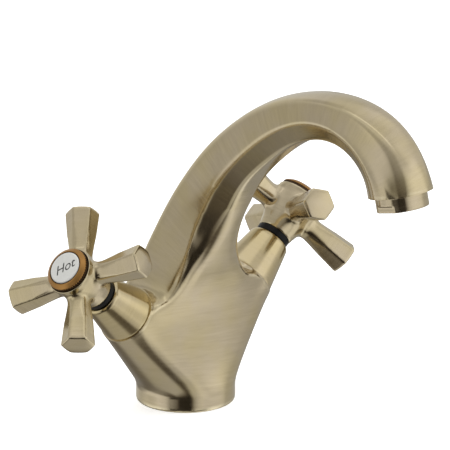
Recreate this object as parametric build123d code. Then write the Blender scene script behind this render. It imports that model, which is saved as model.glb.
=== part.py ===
# Two-handle basin mixer: a one-piece body with a fixed arched spout, two half-turn valves and an aerator.
# Millimetres. +Z is up, the spout points to -Y, the hot valve is at -X, the origin is the base's centre.
import os
from math import cos, hypot, pi, radians, sin, tan

from build123d import *

# General fits
SLIDE = 0.06            # radial clearance of a turning or screwed fit
RUN = 0.3               # free gap between a turning piece and a fixed one
SEAT = 0.02             # play of a pressed piece in its seat

# Base
BASE_RADIUS = 23.0
BASE_HEIGHT = 9.0
BASE_EDGE = 0.8
BASE_FLAT = 0.4         # half width of the short straight in the round base
GASKET_MARGIN = 2.0     # land outside the gasket
GASKET_WIDTH = 3.0
GASKET_OUTER = BASE_RADIUS - GASKET_MARGIN
GASKET_INNER = GASKET_OUTER - GASKET_WIDTH
GASKET_HEIGHT = 2.4
RECESS_LAND = 1.5       # land inside the gasket
RECESS_RADIUS = GASKET_INNER - RECESS_LAND
RECESS_DEPTH = 8.0

# Supply and fixing holes in the underside
INLET_RADIUS = 4.5      # M10 x 1 hose thread, core size
INLET_X = 9.0
INLET_Y = -3.0
INLET_DEPTH = 14.0
FEED_RADIUS = 3.5       # passage above the hose thread
STUD_RADIUS = 3.4       # M8 stud thread, core size
STUD_Y = 10.5
STUD_DEPTH = 16.0

# Valve axes and bosses
VALVE_TILT = 51.0       # degrees from vertical
VALVE_X = 39.4
VALVE_Z = 50.6
BOSS_RADIUS = 14.2
BOSS_LENGTH = 14.0
SHOULDER_Z = 58.2       # top of the arms at the neck
SHOULDER_X = 28.0       # half width of the neck's foot
SHOULDER_SLOPE = 13.0   # degrees that the arm tops fall outwards
FLARE_DEPTH = 19.6      # half depth of the body on its middle line, from the base up
FLARE_Z = 22.0
WAIST_DEPTH = 17.4
WAIST_Z = 36.0
CHEST_DEPTH = 16.7
CHEST_Z = 47.0
NECK_DEPTH = 18.0       # at the shoulder
FRONT_BOW = 0.085       # fall of the front and back per millimetre of their half width
CORNER_ANGLE = 60.0     # where the bevel of the arm's top corner meets the boss, from its side

# Spout
CREST_Y = 98.9
CREST_RISE = 101.7      # above the shoulder
CREST_Z = SHOULDER_Z + CREST_RISE
OUTLET_Y = 138.4
OUTLET_RISE = 74.3
OUTLET_Z = SHOULDER_Z + OUTLET_RISE
OUTLET_LEAN = 166.6     # degrees from straight up
OUTLET_RADIUS = 15.0
FOOT_STEP = 1.0         # step from one corner to the next of the neck's foot
WATERWAY_RADIUS = 6.5
WATERWAY_FOOT = (1.5, SHOULDER_Z + 9.8)
WATERWAY_RISE = (24.5, SHOULDER_Z + 56.4)
WATERWAY_CREST = 71.9   # forward distance where the passage becomes level
WATERWAY_BENDS = [30.0, 70.0, 62.0, 34.0]
CHAMBER_Z = 44.0
CROSS_RADIUS = 4.0
CROSS_Z = 49.5

# Headwork, measured along the valve axis from the boss face
SOCKET_DEPTH = 17.0
SOCKET_RADIUS = 9.0     # M18 x 1
SEAT_HOLE_RADIUS = 4.5
THREAD_LENGTH = 9.0
BONNET_BODY_RADIUS = 8.0
DISC_RADIUS = 6.6
DISC_HEIGHT = 3.0
SEAL_HEIGHT = 3.0
SEAL_HOLE = 3.6
SEAL_SQUEEZE = 0.2
WASHER_HEIGHT = 1.0
WASHER_OUTER = 10.4
HEX_FLATS = 19.0
HEX_HEIGHT = 5.0
NECK_RADIUS = 6.5       # M13 x 1 for the skirt
SKIRT_HEIGHT = 20.6
NECK_INSET = 4.5        # depth of the skirt's mouth above the headwork's neck
NECK_TOP = SKIRT_HEIGHT - NECK_INSET
WINDOW_WIDTH = 7.0
PORT_ANGLE = 100.0
PORT_RIM = 1.2          # ceramic left outside and inside the port

# Spindle
SPINDLE_RADIUS = 4.0
FLANGE_RADIUS = 5.6
FLANGE_HEIGHT = 2.0
TANG_WIDTH = 3.0
TANG_DEPTH = 1.6
TANG_MARGIN = 1.0       # the tang ends this far inside the flange
SPLINE_TEETH = 20
SPLINE_HEIGHT = 0.3
ORING_WIRE = 0.9
ORING_FIRST = 1.5
ORING_STEP = 4.5
CLIP_HEIGHT = 0.8
CLIP_RADIUS = 5.2
CLIP_GROOVE = 0.6

# Cone skirt
SKIRT_BASE_RADIUS = 13.5
SKIRT_TOP_RADIUS = 9.75
SKIRT_WALL = 1.2
SKIRT_RIM = 1.0
SKIRT_WEB = 2.5
MOUTH_RADIUS = 8.8      # bevelled mouth on top, under the black ring
MOUTH_HEIGHT = 1.2
MOUTH_TOP = SKIRT_HEIGHT + MOUTH_HEIGHT

# Cross handle
HUB_GAP = 4.5           # bevel and black ring that show between the skirt and the hub
HUB_BOTTOM = SKIRT_HEIGHT + HUB_GAP
HUB_BOTTOM_RADIUS = 8.3
HUB_LOW_RADIUS = 9.6
HUB_RADIUS = 11.5
HUB_FOOT = 4.0          # height of the hub's tapered foot
HUB_SPIGOT_RADIUS = 5.6
HUB_SPIGOT_LIFT = 2.0   # free height above the headwork's neck, for the clip
HUB_SPIGOT_START = NECK_TOP + HUB_SPIGOT_LIFT
HUB_DEPTH = 13.0        # from the hub's bottom to the middle of the arms
ARM_PLANE = HUB_BOTTOM + HUB_DEPTH
HUB_CAP = 9.6           # from the middle of the arms to the hub's top
HUB_TOP = ARM_PLANE + HUB_CAP
SPINDLE_TOP = ARM_PLANE
SPLINE_LEAD = 0.5       # the splines start this far below the hub's spigot
SPLINE_START = HUB_SPIGOT_START - SPLINE_LEAD
ARM_REACH = 34.7
ARM_TIP_CORNER = 8.4    # centre to corner of the six-sided tip
ARM_ROOT_CORNER = 5.3
ARM_ROOT = 5.0
ARM_COUNT = 4
ARM_REST_ANGLE = 30.0   # the front arm's rise above level when the valve is shut
ARM_FILLET = 2.4
ARM_OVERRUN = 2.4       # extra length that the domed cut takes off
GLIDE_RADIUS = 8.2
GLIDE_SLEEVE = 6.6      # radius of the ring's sleeve in the mouth
GLIDE_LOW = MOUTH_TOP + RUN

# Screw and index
SCREW_RADIUS = 2.0
SCREW_LENGTH = 12.0     # depth of the tapped hole in the spindle
SCREW_SPARE = 1.0       # free thread below the screw
SCREW_HEAD_RADIUS = 3.6
SCREW_HEAD_HEIGHT = 2.4
SCREW_SLOT = 1.0
HUB_WEB = 4.0
HUB_WELL_RADIUS = 8.0
INDEX_RADIUS = 10.6
INDEX_SEAT_DEPTH = 2.0
INDEX_SEAT = HUB_TOP - INDEX_SEAT_DEPTH
INDEX_BAND = 1.7        # height of the ring's straight band above the hub
INDEX_HEIGHT = 3.2      # height of the ring above the hub
INDEX_TOP = HUB_TOP + INDEX_HEIGHT
INDEX_TOP_RADIUS = 8.6
INDEX_LIP_RADIUS = 6.4
INDEX_LIP_DEPTH = 1.6
INDEX_LIP_TOP = INDEX_TOP - INDEX_LIP_DEPTH
INDEX_DISC_RADIUS = 7.8
INDEX_DISC_PROUD = 0.4
DISC_FACE = INDEX_TOP + INDEX_DISC_PROUD
DISC_BEVEL = 0.3

# Aerator, measured along the outlet axis from the spout's end
AERATOR_RADIUS = 12.2
AERATOR_COLLAR = 7.2
AERATOR_THREAD_RADIUS = 11.8    # M24 x 1
AERATOR_THREAD = 7.0
AERATOR_BORE = 10.2
AERATOR_FLATS = 22.0
AERATOR_FLAT_HEIGHT = 3.2
AERATOR_LIP = 1.2
AERATOR_LIP_BORE = 9.4
AERATOR_WASHER = 1.6
AERATOR_WASHER_STEP = 1.0       # the washer's hole clears the passage by this much
CORE_HEIGHT = 8.0
CORE_WALL = 2.0
CORE_FLOOR = 3.0
CORE_HOLE = 1.1
CORE_HOLES = 6
CORE_HOLE_CIRCLE = 6.0
SCREEN_HEIGHT = 0.8
SCREEN_HOLE = 0.55
SCREEN_PITCH = 2.2
SCREEN_RINGS = 4

CENTRE_BASE = (Align.CENTER, Align.CENTER, Align.MIN)


def turned(*points):
    """Solid of revolution about Z from (radius, height) corners."""
    return revolve(Plane.XZ * make_face(Polyline(*points, close=True)), Axis.Z)


def tube(outer, inner, low, high):
    """Plain ring from one height to another."""
    return turned((inner, low), (outer, low), (outer, high), (inner, high))


def rod(radius, low, high):
    """Plain round bar from one height to another."""
    return Pos(0, 0, low) * Cylinder(radius, high - low, align=CENTRE_BASE)


def slab(width, depth, low, high):
    """Rectangular block centred on Z from one height to another."""
    return Pos(0, 0, low) * Box(width, depth, high - low, align=CENTRE_BASE)


def valve_plane(side):
    """Frame of a valve: Z outwards along its axis, X towards the front. side is -1 hot, +1 cold."""
    tilt = radians(VALVE_TILT)
    origin = (side * VALVE_X, 0, VALVE_Z)
    return Plane(origin=origin, x_dir=(0, -1, 0), z_dir=(side * sin(tilt), 0, cos(tilt)))


def spout_plane(forward, height, lean):
    """Frame of a spout section: Z along the flow, X to the right, Y to the outside of the arch."""
    angle = radians(lean)
    return Plane(origin=(0, -forward, height), x_dir=(1, 0, 0), z_dir=(0, -sin(angle), cos(angle)))


OUTLET = spout_plane(OUTLET_Y, OUTLET_Z, OUTLET_LEAN)


def hull_section(z, half_width, flat_half, half_depth):
    """Level outline of the lower body: gently bowed front and back between elliptical ends."""
    end = half_width - flat_half
    edge_depth = half_depth - FRONT_BOW * flat_half
    lines = []
    for sign, start in ((1, -90), (-1, 90)):
        edge_start = (-sign * flat_half, -sign * edge_depth)
        edge_end = (sign * flat_half, -sign * edge_depth)
        lines.append(ThreePointArc(edge_start, (0, -sign * half_depth), edge_end))
        centre = (sign * flat_half, 0)
        lines.append(EllipticalCenterArc(centre, end, edge_depth, start, arc_size=90))
        lines.append(EllipticalCenterArc(centre, end, edge_depth, start + 90, arc_size=90))
    return Plane.XY.offset(z) * make_face(lines)


def valve_spread():
    """Sideways run of the arms' middle line per millimetre of height."""
    return VALVE_X / (VALVE_Z - BASE_HEIGHT)


def corner_bevel(side, front):
    """Half space that bevels an arm's top corner from the neck's foot to the boss."""
    tilt = radians(VALVE_TILT)
    angle = radians(CORNER_ANGLE)
    foot = Vector(side * SHOULDER_X, front * NECK_DEPTH, SHOULDER_Z)
    flank = Vector(side * VALVE_X, front * BOSS_RADIUS, VALVE_Z)
    rise = BOSS_RADIUS * sin(angle)
    depth = BOSS_RADIUS * cos(angle)
    top = Vector(side * (VALVE_X - rise * cos(tilt)), front * depth, VALVE_Z + rise * sin(tilt))
    normal = (flank - foot).cross(top - foot) * (-side * front)
    reach = 4 * VALVE_X
    return Plane(origin=foot, z_dir=normal).location * Box(reach, reach, reach, align=CENTRE_BASE)


def lower_body():
    """Base and the two arms, up to the boss faces and the shoulders."""
    tilt = radians(VALVE_TILT)
    toe_x = VALVE_X + BOSS_RADIUS * cos(tilt)
    toe_z = VALVE_Z - BOSS_RADIUS * sin(tilt)
    flare = (toe_x - BASE_RADIUS) / (toe_z - BASE_HEIGHT)
    spread = valve_spread()

    def section(z, depth):
        rise = z - BASE_HEIGHT
        return hull_section(z, BASE_RADIUS + flare * rise, BASE_FLAT + spread * rise, depth)

    sections = [
        section(BASE_HEIGHT, BASE_RADIUS),
        section(FLARE_Z, FLARE_DEPTH),
        section(WAIST_Z, WAIST_DEPTH),
        section(CHEST_Z, CHEST_DEPTH),
        section(SHOULDER_Z, NECK_DEPTH),
    ]
    foot = extrude(hull_section(0, BASE_RADIUS, BASE_FLAT, BASE_RADIUS), BASE_HEIGHT)
    foot = fillet(foot.faces().sort_by(Axis.Z)[0].edges(), BASE_EDGE)
    solid = foot + loft(sections)
    reach = 4 * VALVE_X
    for side in (-1, 1):
        beyond = valve_plane(side).location * Box(reach, reach, reach, align=CENTRE_BASE)
        solid -= beyond
        corner = Pos(side * SHOULDER_X, 0, SHOULDER_Z) * Rot(0, side * SHOULDER_SLOPE, 0)
        outwards = Align.MIN if side > 0 else Align.MAX
        above = Box(reach, reach, reach, align=(outwards, Align.CENTER, Align.MIN))
        solid -= corner * above
        for front in (-1, 1):
            solid -= corner_bevel(side, front)
    for side in (-1, 1):
        solid += valve_plane(side).location * rod(BOSS_RADIUS, -BOSS_LENGTH, 0)
    return solid


def spout_section(place, side, belly, back, rounds):
    """Section of neck or spout: flat sides, chamfered belly and crowned back, with rounded corners.

    place gives the distance forward, the rise above the shoulder and the lean in degrees.
    side, belly and back each give a half width and a distance from the centre line.
    belly and back add a bow, and rounds gives the corner radii.
    """
    side_half, side_in = side
    belly_half, belly_in, belly_bow = belly
    back_half, back_out, crown = back
    right = [(belly_half, -belly_in), (side_half, -side_in), (back_half, back_out)]
    left = [(-x, y) for x, y in reversed(right)]
    points = right + [(0, back_out + crown)] + left + [(0, -belly_in - belly_bow)]
    belly_round, side_round, back_round, bow_round = rounds
    corners = [belly_round, side_round, back_round]
    radii = corners + [bow_round] + corners[::-1] + [bow_round]
    forward, rise, lean = place
    outline = FilletPolyline(*points, radius=radii, close=True)
    return spout_plane(forward, SHOULDER_Z + rise, lean) * make_face(outline)


def neck_and_spout():
    """Loft from the shoulders up the neck, over the crest and down to the outlet."""
    foot_bow = FRONT_BOW * SHOULDER_X ** 2 / (BASE_FLAT + valve_spread() * (SHOULDER_Z - BASE_HEIGHT))
    foot_depth = NECK_DEPTH - foot_bow
    belly_foot = (SHOULDER_X - FOOT_STEP, foot_depth, foot_bow)
    back_foot = (SHOULDER_X - 2 * FOOT_STEP, foot_depth - FOOT_STEP, foot_bow)
    half = OUTLET_RADIUS * tan(pi / 6)
    corner = OUTLET_RADIUS / cos(pi / 6)
    round_end = (half, OUTLET_RADIUS, 0.2)
    side_foot = (SHOULDER_X, foot_depth - FOOT_STEP)
    crest = (CREST_Y, CREST_RISE, 90)
    outlet = (OUTLET_Y, OUTLET_RISE, OUTLET_LEAN)
    stations = [
        ((0, 0, 0), side_foot, belly_foot, back_foot, (0.4, 0.4, 1.0, 60)),
        ((3.7, 9.6, 14), (21.4, 14.2), (19.6, 15.2, 0.6), (18.2, 16.0, 1.4), (0.6, 0.6, 2.0, 50)),
        ((9.1, 24.7, 25), (15.9, 9.0), (11.8, 15.6, 0.4), (13.8, 15.6, 1.6), (1.0, 1.0, 3.0, 40)),
        ((18.1, 41.8, 28), (13.4, 5.0), (7.4, 15.0, 0.3), (11.8, 15.2, 1.8), (1.5, 1.4, 3.5, 30)),
        ((29.0, 58.6, 35), (12.6, 3.6), (6.9, 13.4, 0.3), (11.2, 13.6, 1.8), (1.6, 1.4, 3.5, 30)),
        ((46.0, 76.4, 45), (12.1, 2.6), (6.8, 12.0, 0.3), (10.6, 12.6, 1.8), (1.6, 1.4, 3.5, 30)),
        ((67.9, 92.5, 62), (12.1, 1.6), (7.0, 11.2, 0.3), (10.2, 10.8, 1.8), (1.6, 1.6, 3.5, 30)),
        (crest, (12.6, 1.2), (7.6, 10.5, 0.3), (9.6, 8.9, 1.8), (2.0, 2.4, 4.0, 28)),
        ((123.0, 93.9, 130), (14.2, 0.8), (8.2, 10.8, 0.4), (9.8, 12.7, 1.8), (4.0, 5.0, 6.0, 22)),
        ((132.8, 85.7, 150), (16.4, 0.4), (8.6, 12.8, 0.4), (8.8, 14.0, 0.8), (9.0, 10.0, 10.0, 20)),
        (outlet, (corner, 0), round_end, round_end, (13.0, 13.5, 13.0, 30)),
    ]
    return loft([spout_section(*station) for station in stations])


def waterway():
    """Passage from the mixing chamber to the outlet, as straight runs and arcs."""
    lean = radians(OUTLET_LEAN)
    drop = (CREST_Z - OUTLET_Z) / -cos(lean)
    bend_y = OUTLET_Y - drop * sin(lean)
    route = [
        (0, CHAMBER_Z),
        WATERWAY_FOOT,
        WATERWAY_RISE,
        (WATERWAY_CREST, CREST_Z),
        (bend_y, CREST_Z),
        (OUTLET_Y, OUTLET_Z),
    ]
    path = FilletPolyline(*[(0, -forward, height) for forward, height in route], radius=WATERWAY_BENDS)
    start = Plane(origin=path @ 0, z_dir=path % 0)
    return sweep(start * Circle(WATERWAY_RADIUS), path=path)


def mixer_body():
    """The casting: base, arms, neck and spout with the machined sockets and passages."""
    solid = lower_body() + neck_and_spout()
    solid -= rod(RECESS_RADIUS, 0, RECESS_DEPTH)
    solid -= tube(GASKET_OUTER, GASKET_INNER, 0, GASKET_HEIGHT)
    solid -= Pos(0, STUD_Y) * rod(STUD_RADIUS, 0, RECESS_DEPTH + STUD_DEPTH)
    for side in (-1, 1):
        axis = valve_plane(side).location
        tilt = radians(VALVE_TILT)
        feed = (VALVE_X - INLET_X) / sin(tilt)
        feed_z = VALVE_Z - feed * cos(tilt)
        solid -= axis * rod(SOCKET_RADIUS + SLIDE, -SOCKET_DEPTH, BOSS_RADIUS)
        solid -= axis * rod(SEAT_HOLE_RADIUS, -feed, -SOCKET_DEPTH)
        inlet = Pos(side * INLET_X, INLET_Y)
        solid -= inlet * rod(INLET_RADIUS, 0, RECESS_DEPTH + INLET_DEPTH)
        solid -= inlet * rod(FEED_RADIUS, RECESS_DEPTH, feed_z)
    reach = VALVE_X - SOCKET_DEPTH * sin(radians(VALVE_TILT))
    solid -= Pos(0, 0, CROSS_Z) * Rot(0, 90, 0) * Cylinder(CROSS_RADIUS, 2 * reach)
    solid -= waterway()
    thread_depth = AERATOR_THREAD + AERATOR_WASHER
    solid -= OUTLET.location * rod(AERATOR_THREAD_RADIUS + SLIDE, -thread_depth, OUTLET_RADIUS)
    return solid


def base_gasket():
    """Rubber ring in the groove of the underside, flush with it."""
    return tube(GASKET_OUTER - SEAT, GASKET_INNER + SEAT, 0, GASKET_HEIGHT)


SEAT_Z = -SOCKET_DEPTH
BONNET_FOOT = SEAT_Z + SEAL_SQUEEZE
STATOR_LOW = SEAT_Z + SEAL_HEIGHT
ROTOR_LOW = STATOR_LOW + DISC_HEIGHT
ROTOR_TOP = ROTOR_LOW + DISC_HEIGHT
FLANGE_TOP = ROTOR_TOP + FLANGE_HEIGHT
HEX_LOW = WASHER_HEIGHT
HEX_TOP = HEX_LOW + HEX_HEIGHT


def valve_bonnet():
    """Headwork: threaded body with a hexagon, a neck for the skirt, a disc chamber and side windows."""
    thread_low = -THREAD_LENGTH
    body = rod(BONNET_BODY_RADIUS, BONNET_FOOT, thread_low)
    body += rod(SOCKET_RADIUS, thread_low, HEX_LOW)
    hexagon = RegularPolygon(HEX_FLATS / 2, 6, major_radius=False)
    body += Pos(0, 0, HEX_LOW) * extrude(hexagon, HEX_HEIGHT)
    body += rod(NECK_RADIUS, HEX_TOP, NECK_TOP)
    body -= rod(DISC_RADIUS + SLIDE, BONNET_FOOT, ROTOR_TOP)
    body -= rod(FLANGE_RADIUS + SLIDE, ROTOR_TOP, FLANGE_TOP + SLIDE)
    body -= rod(SPINDLE_RADIUS + SLIDE, FLANGE_TOP, NECK_TOP)
    body -= slab(4 * BONNET_BODY_RADIUS, WINDOW_WIDTH, ROTOR_LOW, thread_low)
    return body


def bonnet_washer():
    """Flat seal between the hexagon and the boss face."""
    return tube(WASHER_OUTER, SOCKET_RADIUS + SLIDE, 0, WASHER_HEIGHT)


def seat_seal():
    """Rubber ring between the lower disc and the seat in the body."""
    return tube(DISC_RADIUS, SEAL_HOLE, SEAT_Z, STATOR_LOW)


def ported_disc(low):
    """Ceramic disc with one fan-shaped water port."""
    half = radians(PORT_ANGLE / 2)
    port = [(0, 0), (DISC_RADIUS * cos(half), -DISC_RADIUS * sin(half)),
            (DISC_RADIUS, 0), (DISC_RADIUS * cos(half), DISC_RADIUS * sin(half))]
    fan = make_face(Polyline(*port, close=True)) & Circle(DISC_RADIUS - PORT_RIM)
    fan -= Circle(PORT_RIM)
    disc = rod(DISC_RADIUS, low, low + DISC_HEIGHT)
    return disc - Pos(0, 0, low) * extrude(fan, DISC_HEIGHT)


def stator_disc():
    """Lower ceramic disc, still in the headwork."""
    return ported_disc(STATOR_LOW)


def rotor_disc():
    """Upper ceramic disc, slotted for the spindle's tang and turned half a turn when shut."""
    slot = slab(TANG_WIDTH + 2 * SLIDE, 4 * DISC_RADIUS, ROTOR_TOP - TANG_DEPTH - SLIDE, ROTOR_TOP)
    return Rot(0, 0, 180) * ported_disc(ROTOR_LOW) - slot


def spline_profile(radius):
    """Toothed outline of the spindle's end."""
    step = 2 * pi / SPLINE_TEETH
    points = []
    for tooth in range(SPLINE_TEETH):
        for share, height in ((0.0, 0), (0.3, 0), (0.5, -SPLINE_HEIGHT), (0.8, -SPLINE_HEIGHT)):
            angle = (tooth + share) * step
            points.append(((radius + height) * cos(angle), (radius + height) * sin(angle)))
    return make_face(Polyline(*points, close=True))


def oring_heights():
    return [ORING_FIRST, ORING_FIRST + ORING_STEP]


CLIP_LOW = NECK_TOP + SLIDE


def spindle():
    """Shaft with a driving tang, a flange, seal and clip grooves, a splined end and a tapped hole."""
    shaft = rod(FLANGE_RADIUS, ROTOR_TOP, FLANGE_TOP)
    shaft += slab(TANG_WIDTH, 2 * (FLANGE_RADIUS - TANG_MARGIN), ROTOR_TOP - TANG_DEPTH, ROTOR_TOP)
    shaft += rod(SPINDLE_RADIUS, FLANGE_TOP, SPLINE_START)
    shaft += Pos(0, 0, SPLINE_START) * extrude(spline_profile(SPINDLE_RADIUS), SPINDLE_TOP - SPLINE_START)
    for height in oring_heights():
        groove = SPINDLE_RADIUS - ORING_WIRE
        shaft -= tube(2 * SPINDLE_RADIUS, groove, height - ORING_WIRE, height + ORING_WIRE)
    shaft -= tube(2 * SPINDLE_RADIUS, SPINDLE_RADIUS - CLIP_GROOVE, CLIP_LOW, CLIP_LOW + CLIP_HEIGHT)
    shaft -= rod(SCREW_RADIUS + SLIDE, SPINDLE_TOP - SCREW_LENGTH, SPINDLE_TOP)
    return shaft


def spindle_orings():
    """Two round seals in the spindle's grooves."""
    middle = SPINDLE_RADIUS - ORING_WIRE / 2
    rings = [Pos(0, 0, height) * Torus(middle, ORING_WIRE / 2) for height in oring_heights()]
    return Compound(children=rings)


def spindle_clip():
    """Open ring that snaps into the spindle above the headwork."""
    ring = tube(CLIP_RADIUS, SPINDLE_RADIUS - CLIP_GROOVE + SEAT, CLIP_LOW, CLIP_LOW + CLIP_HEIGHT)
    mouth = Pos(CLIP_RADIUS, 0, 0) * slab(2 * CLIP_RADIUS, SPINDLE_RADIUS, CLIP_LOW, CLIP_LOW + CLIP_HEIGHT)
    return ring - mouth


def cone_skirt():
    """Conical cover with a bevelled mouth, screwed by its inner web onto the headwork's neck."""
    slope = (SKIRT_BASE_RADIUS - SKIRT_TOP_RADIUS) / (SKIRT_HEIGHT - SKIRT_RIM)

    def outer(height):
        return SKIRT_BASE_RADIUS - slope * (height - SKIRT_RIM)

    web_low = NECK_TOP - SKIRT_WEB
    bore = GLIDE_SLEEVE + RUN
    hole = NECK_RADIUS + SLIDE
    return turned(
        (SKIRT_BASE_RADIUS - SKIRT_WALL, 0),
        (SKIRT_BASE_RADIUS, 0),
        (SKIRT_BASE_RADIUS, SKIRT_RIM),
        (SKIRT_TOP_RADIUS, SKIRT_HEIGHT),
        (MOUTH_RADIUS, MOUTH_TOP),
        (bore, MOUTH_TOP),
        (bore, NECK_TOP),
        (hole, NECK_TOP),
        (hole, web_low),
        (outer(web_low) - SKIRT_WALL, web_low),
        (SKIRT_BASE_RADIUS - SKIRT_WALL, SKIRT_RIM),
    )


SCREW_SEAT = SPINDLE_TOP + HUB_WEB


def handle(rest_angle):
    """Cross handle: a turned hub and four six-sided arms that widen to domed tips."""
    hub = turned(
        (0, HUB_SPIGOT_START), (HUB_SPIGOT_RADIUS, HUB_SPIGOT_START), (HUB_SPIGOT_RADIUS, HUB_BOTTOM),
        (HUB_BOTTOM_RADIUS, HUB_BOTTOM), (HUB_LOW_RADIUS, HUB_BOTTOM + HUB_FOOT),
        (HUB_RADIUS, HUB_TOP), (0, HUB_TOP),
    )
    cross = Rot(0, 0, rest_angle + 180 / ARM_COUNT) * hub
    for arm in range(ARM_COUNT):
        direction = rest_angle + arm * 360 / ARM_COUNT
        axis = Rot(0, 0, direction) * Pos(0, 0, ARM_PLANE) * Rot(0, 90, 0)
        root = Pos(0, 0, ARM_ROOT) * RegularPolygon(ARM_ROOT_CORNER, 6)
        tip = Pos(0, 0, ARM_REACH + ARM_OVERRUN) * RegularPolygon(ARM_TIP_CORNER, 6)
        cross += axis * loft([root, tip], ruled=True)
    curved = [edge for edge in cross.edges() if edge.geom_type not in (GeomType.LINE, GeomType.CIRCLE)]
    roots = [edge for edge in curved if hypot((edge @ 0).X, (edge @ 0).Y) < HUB_RADIUS]
    roots = [edge for edge in roots if hypot((edge @ 1).X, (edge @ 1).Y) < HUB_RADIUS]
    cross = fillet(roots, ARM_FILLET)
    dome = (ARM_REACH ** 2 + ARM_TIP_CORNER ** 2) ** 0.5
    cross &= Pos(0, 0, ARM_PLANE) * Sphere(dome)
    cross -= Pos(0, 0, HUB_SPIGOT_START) * extrude(
        spline_profile(SPINDLE_RADIUS + SLIDE), SPINDLE_TOP + SLIDE - HUB_SPIGOT_START)
    cross -= rod(SCREW_RADIUS + 2 * SLIDE, SPINDLE_TOP, HUB_TOP)
    cross -= rod(HUB_WELL_RADIUS, SCREW_SEAT, HUB_TOP)
    cross -= rod(INDEX_RADIUS + SEAT, INDEX_SEAT, HUB_TOP)
    return cross


def glide_ring():
    """Black plastic ring under the hub, with a sleeve that turns in the skirt's mouth."""
    inner = HUB_SPIGOT_RADIUS + SEAT
    return turned(
        (inner, HUB_SPIGOT_START), (GLIDE_SLEEVE, HUB_SPIGOT_START), (GLIDE_SLEEVE, GLIDE_LOW),
        (GLIDE_RADIUS, GLIDE_LOW), (GLIDE_RADIUS, HUB_BOTTOM), (inner, HUB_BOTTOM),
    )


def handle_screw():
    """Slotted screw that holds the handle on the spindle."""
    screw = rod(SCREW_RADIUS, SPINDLE_TOP - SCREW_LENGTH + SCREW_SPARE, SCREW_SEAT)
    screw += rod(SCREW_HEAD_RADIUS, SCREW_SEAT, SCREW_SEAT + SCREW_HEAD_HEIGHT)
    head_top = SCREW_SEAT + SCREW_HEAD_HEIGHT
    return screw - slab(3 * SCREW_HEAD_RADIUS, SCREW_SLOT, head_top - SCREW_SLOT, head_top)


def index_ring():
    """Tapered ring in the hub's top, with a lip that carries the disc."""
    return turned(
        (INDEX_LIP_RADIUS, INDEX_SEAT), (INDEX_RADIUS, INDEX_SEAT), (INDEX_RADIUS, HUB_TOP + INDEX_BAND),
        (INDEX_TOP_RADIUS, INDEX_TOP), (INDEX_DISC_RADIUS + SEAT, INDEX_TOP),
        (INDEX_DISC_RADIUS + SEAT, INDEX_LIP_TOP), (INDEX_LIP_RADIUS, INDEX_LIP_TOP),
    )


def index_disc():
    """White disc in the ring, slightly proud."""
    return turned(
        (0, INDEX_LIP_TOP), (INDEX_DISC_RADIUS, INDEX_LIP_TOP), (INDEX_DISC_RADIUS, INDEX_TOP),
        (INDEX_DISC_RADIUS - DISC_BEVEL, DISC_FACE), (0, DISC_FACE),
    )


def aerator_housing():
    """Threaded shell with a collar, two wrench flats and an inner lip."""
    shell = rod(AERATOR_THREAD_RADIUS, -AERATOR_THREAD, 0)
    collar = rod(AERATOR_RADIUS, 0, AERATOR_COLLAR)
    keep = slab(AERATOR_FLATS, 4 * AERATOR_RADIUS, AERATOR_COLLAR - AERATOR_FLAT_HEIGHT, AERATOR_COLLAR)
    keep += slab(4 * AERATOR_RADIUS, 4 * AERATOR_RADIUS, 0, AERATOR_COLLAR - AERATOR_FLAT_HEIGHT)
    shell += collar & keep
    shell -= rod(AERATOR_BORE, -AERATOR_THREAD, AERATOR_COLLAR - AERATOR_LIP)
    shell -= rod(AERATOR_LIP_BORE, AERATOR_COLLAR - AERATOR_LIP, AERATOR_COLLAR)
    return shell


SCREEN_LOW = AERATOR_COLLAR - AERATOR_LIP - SCREEN_HEIGHT


def aerator_screen():
    """Pierced disc that rests on the housing's lip."""
    screen = rod(AERATOR_BORE - SLIDE, SCREEN_LOW, SCREEN_LOW + SCREEN_HEIGHT)
    holes = [Circle(SCREEN_HOLE)]
    for ring in range(1, SCREEN_RINGS):
        holes += list(PolarLocations(ring * SCREEN_PITCH, 6 * ring) * Circle(SCREEN_HOLE))
    return screen - Pos(0, 0, SCREEN_LOW) * extrude(Sketch(children=holes), SCREEN_HEIGHT)


def aerator_core():
    """Plastic insert with a ring of jet holes, standing on the screen."""
    core = rod(AERATOR_BORE - SLIDE, SCREEN_LOW - CORE_HEIGHT, SCREEN_LOW)
    core -= rod(AERATOR_BORE - CORE_WALL, SCREEN_LOW - CORE_HEIGHT + CORE_FLOOR, SCREEN_LOW)
    holes = list(PolarLocations(CORE_HOLE_CIRCLE, CORE_HOLES) * Circle(CORE_HOLE))
    return core - Pos(0, 0, SCREEN_LOW - CORE_HEIGHT) * extrude(Sketch(children=holes), CORE_HEIGHT)


def aerator_washer():
    """Rubber ring between the housing's top and the spout's step."""
    hole = WATERWAY_RADIUS + AERATOR_WASHER_STEP
    return tube(AERATOR_THREAD_RADIUS - SEAT, hole, -AERATOR_THREAD - AERATOR_WASHER, -AERATOR_THREAD)


def main():
    os.makedirs("parts", exist_ok=True)
    nodes = {
        "mixer_body": mixer_body(),
        "base_gasket": base_gasket(),
    }
    valve_pieces = [cone_skirt, valve_bonnet, bonnet_washer, seat_seal, stator_disc, rotor_disc, spindle,
                    spindle_orings, spindle_clip, glide_ring, handle_screw, index_ring, index_disc]
    for name, side in (("hot", -1), ("cold", 1)):
        place = valve_plane(side).location
        for piece in valve_pieces:
            nodes[f"{name}_{piece.__name__}"] = place * piece()
        nodes[f"{name}_handle"] = place * handle(-side * ARM_REST_ANGLE)
    for piece in (aerator_housing, aerator_screen, aerator_core, aerator_washer):
        nodes[piece.__name__] = OUTLET.location * piece()
    for name, shape in nodes.items():
        export_step(shape, f"parts/{name}.step")


main()
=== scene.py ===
# Two-handle basin mixer in brushed bronze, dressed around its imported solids.
from math import cos, pi, radians, sin

import bmesh
import bpy
import numpy as np
from mathutils import Matrix, Vector


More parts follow.
